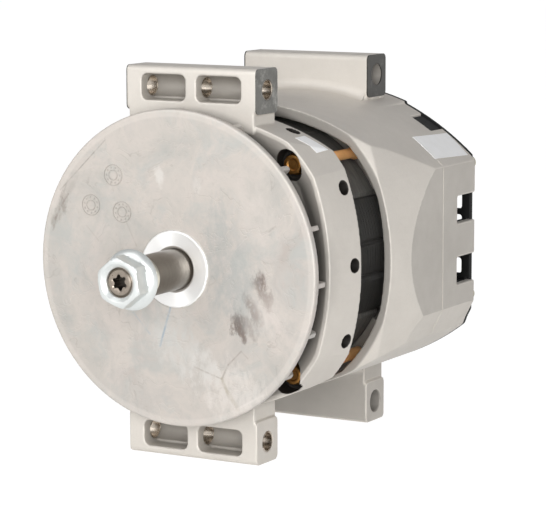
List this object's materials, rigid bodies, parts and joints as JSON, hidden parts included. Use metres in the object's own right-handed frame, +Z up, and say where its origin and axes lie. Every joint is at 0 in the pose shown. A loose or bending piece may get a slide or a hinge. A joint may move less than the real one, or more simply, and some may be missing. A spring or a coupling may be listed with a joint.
{
  "type": "alternator",
  "caption": "Heavy-duty pad-mount alternator with an outside fan, cast housings held by through bolts, a brushless claw-pole rotor and a built-in rectifier.",
  "frame": {"origin": "on the shaft axis, in the face of the fan hub that a pulley clamps against", "axes": "+Y along the shaft from the pulley end to the rear, +X towards one pair of machined pad ends, +Z up through the upper lugs"},
  "size_m": [0.19, 0.2474, 0.2136],
  "materials": {
    "housing_aluminium": "bead-blasted casting",
    "fan_aluminium": "as-cast, mottled",
    "shaft_steel": "turned, oiled",
    "zinc_steel": "bright zinc plate",
    "bolt_brass": "yellow zinc plate",
    "bearing_steel": "polished",
    "seal_rubber": "moulded",
    "cage_steel": "pressed",
    "lamination_steel": "black lacquer",
    "rotor_iron": "forged",
    "joining_steel": "stainless",
    "copper": "enamelled copper",
    "slot_paper": "insulating film",
    "black_plastic": "moulded, fine grain",
    "bobbin_plastic": "moulded",
    "heat_sink_aluminium": "extruded",
    "diode_metal": "nickel plate",
    "stud_metal": "plated",
    "screw_steel": "olive zinc plate"
  },
  "bodies": {
    "housing": {"front_housing": "housing_aluminium", "rear_housing": "housing_aluminium", "front_lug_bushings": "zinc_steel", "front_bearing_outer": "bearing_steel", "front_bearing_seals": "seal_rubber", "rear_bearing_outer": "bearing_steel", "rear_bearing_seals": "seal_rubber", "bearing_retainer": "zinc_steel", "retainer_screws": "screw_steel", "stator_core": "lamination_steel", "stator_winding": "copper", "slot_liners": "slot_paper", "through_bolts": "bolt_brass", "coil_support": "rotor_iron", "support_screws": "screw_steel", "coil_bobbin": "bobbin_plastic", "field_coil": "copper", "heat_sink_earthed": "heat_sink_aluminium", "earthed_diodes": "diode_metal", "heat_sink_insulated": "heat_sink_aluminium", "insulated_diodes": "diode_metal", "rectifier_insulators": "bobbin_plastic", "rectifier_screws": "screw_steel", "regulator": "black_plastic", "regulator_screws": "screw_steel", "relay_stud": "stud_metal", "output_stud": "stud_metal", "earth_stud": "stud_metal", "stud_bushings": "black_plastic", "stud_nuts": "stud_metal", "rear_cover": "black_plastic", "cover_screws": "screw_steel"},
    "rotor": {"shaft": "shaft_steel", "shaft_nut": "zinc_steel", "fan": "fan_aluminium", "fan_spacer": "zinc_steel", "front_bearing_inner": "bearing_steel", "rear_bearing_inner": "bearing_steel", "rotor_core": "rotor_iron", "pole_wheel_front": "rotor_iron", "pole_wheel_rear": "rotor_iron", "pole_joining_ring": "joining_steel"},
    "front_balls": {"front_bearing_balls": "bearing_steel", "front_bearing_cage": "cage_steel"},
    "rear_balls": {"rear_bearing_balls": "bearing_steel", "rear_bearing_cage": "cage_steel"}
  },
  "joints": [
    {"name": "rotor_spin", "type": "hinge", "parent": "housing", "child": "rotor", "pos_m": [0, 0.0285, 0], "axis": [0, 1, 0], "continuous": true},
    {"name": "front_ball_spin", "type": "hinge", "parent": "housing", "child": "front_balls", "pos_m": [0, 0.0285, 0], "axis": [0, 1, 0], "continuous": true},
    {"name": "rear_ball_spin", "type": "hinge", "parent": "housing", "child": "rear_balls", "pos_m": [0, 0.134, 0], "axis": [0, 1, 0], "continuous": true}
  ],
  "couplings": [
    {"joint": "front_ball_spin", "follows": "rotor_spin", "ratio": 0.376},
    {"joint": "rear_ball_spin", "follows": "rotor_spin", "ratio": 0.381}
  ]
}
